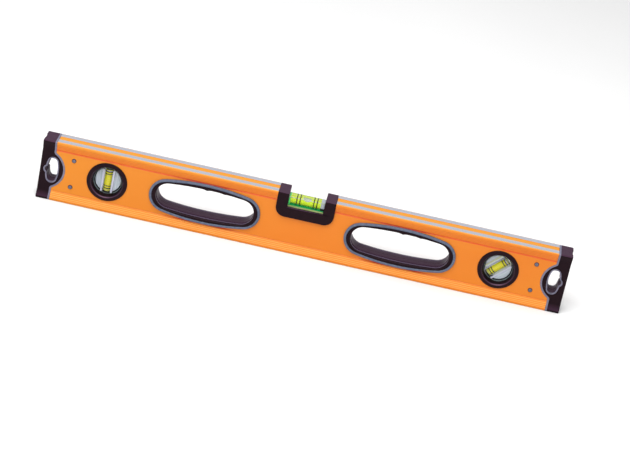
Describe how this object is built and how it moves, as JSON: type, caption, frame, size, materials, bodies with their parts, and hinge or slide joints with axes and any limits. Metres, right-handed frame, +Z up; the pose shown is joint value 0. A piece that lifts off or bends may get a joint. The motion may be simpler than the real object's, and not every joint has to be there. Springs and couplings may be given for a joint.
{
  "type": "spirit level",
  "caption": "Box-section spirit level with end caps, lined hand holes, a level vial in the top edge, a plumb vial at one end and a turning angle vial at the other.",
  "frame": {"origin": "middle of the lower measuring face", "axes": "+X along the beam towards the angle vial, -Y towards the front face, +Z up to the upper measuring face"},
  "size_m": [0.6, 0.026, 0.072],
  "materials": {
    "orange_paint": "satin powder coat, with bare milled strips on the measuring faces",
    "black_plastic": "fine grained, low sheen",
    "soft_grey": "matt soft moulding",
    "rivet_metal": "dark satin",
    "clear_acrylic": "clear, machined",
    "pale_plastic": "pale, translucent look",
    "vial_liquid": "bright yellow-green liquid",
    "air": "clear",
    "marker_ink": "dark"
  },
  "bodies": {
    "level": {"beam": "orange_paint", "left_end_cap": "black_plastic", "right_end_cap": "black_plastic", "level_vial_holder": "black_plastic", "left_grip_front": "black_plastic", "left_grip_rear": "black_plastic", "right_grip_front": "black_plastic", "right_grip_rear": "black_plastic", "plumb_vial_front_bezel": "black_plastic", "plumb_vial_rear_bezel": "black_plastic", "angle_vial_front_bezel": "black_plastic", "angle_vial_rear_bezel": "black_plastic", "left_cap_gasket": "soft_grey", "right_cap_gasket": "soft_grey", "left_hang_hole_front_rim": "soft_grey", "left_hang_hole_rear_rim": "soft_grey", "right_hang_hole_front_rim": "soft_grey", "right_hang_hole_rear_rim": "soft_grey", "left_grip_front_rim": "soft_grey", "left_grip_rear_rim": "soft_grey", "right_grip_front_rim": "soft_grey", "right_grip_rear_rim": "soft_grey", "left_front_lower_rivet": "rivet_metal", "left_front_upper_rivet": "rivet_metal", "left_rear_lower_rivet": "rivet_metal", "left_rear_upper_rivet": "rivet_metal", "right_front_lower_rivet": "rivet_metal", "right_front_upper_rivet": "rivet_metal", "right_rear_lower_rivet": "rivet_metal", "right_rear_upper_rivet": "rivet_metal", "level_vial_body": "clear_acrylic", "plumb_vial_body": "clear_acrylic", "level_vial_plug": "pale_plastic", "plumb_vial_plug": "pale_plastic", "plumb_vial_front_reflector": "pale_plastic", "plumb_vial_rear_reflector": "pale_plastic", "level_vial_liquid": "vial_liquid", "plumb_vial_liquid": "vial_liquid", "level_marker_ring_1": "marker_ink", "level_marker_ring_2": "marker_ink", "level_marker_ring_3": "marker_ink", "level_marker_ring_4": "marker_ink", "plumb_marker_ring_1": "marker_ink", "plumb_marker_ring_2": "marker_ink", "plumb_marker_ring_3": "marker_ink", "plumb_marker_ring_4": "marker_ink"},
    "level_bubble": {"level_bubble": "air"},
    "plumb_bubble": {"plumb_bubble": "air"},
    "angle_vial": {"angle_vial_body": "clear_acrylic", "angle_vial_front_reflector": "pale_plastic", "angle_vial_rear_reflector": "pale_plastic", "angle_vial_plug": "pale_plastic", "angle_vial_liquid": "vial_liquid", "angle_marker_ring_1": "marker_ink", "angle_marker_ring_2": "marker_ink", "angle_marker_ring_3": "marker_ink", "angle_marker_ring_4": "marker_ink"},
    "angle_bubble": {"angle_bubble": "air"}
  },
  "joints": [
    {"name": "level_bubble_travel", "type": "slide", "parent": "level", "child": "level_bubble", "axis": [1, 0, 0], "range_m": [-0.013, 0.0104]},
    {"name": "plumb_bubble_travel", "type": "slide", "parent": "level", "child": "plumb_bubble", "axis": [0, 0, 1], "range_m": [-0.0192, 0]},
    {"name": "angle_vial_turn", "type": "hinge", "parent": "level", "child": "angle_vial", "pos_m": [0.223, 0, 0.036], "axis": [0, -1, 0], "continuous": true},
    {"name": "angle_bubble_travel", "type": "slide", "parent": "angle_vial", "child": "angle_bubble", "axis": [0.7071, 0, 0.7071], "range_m": [-0.0192, 0]}
  ]
}
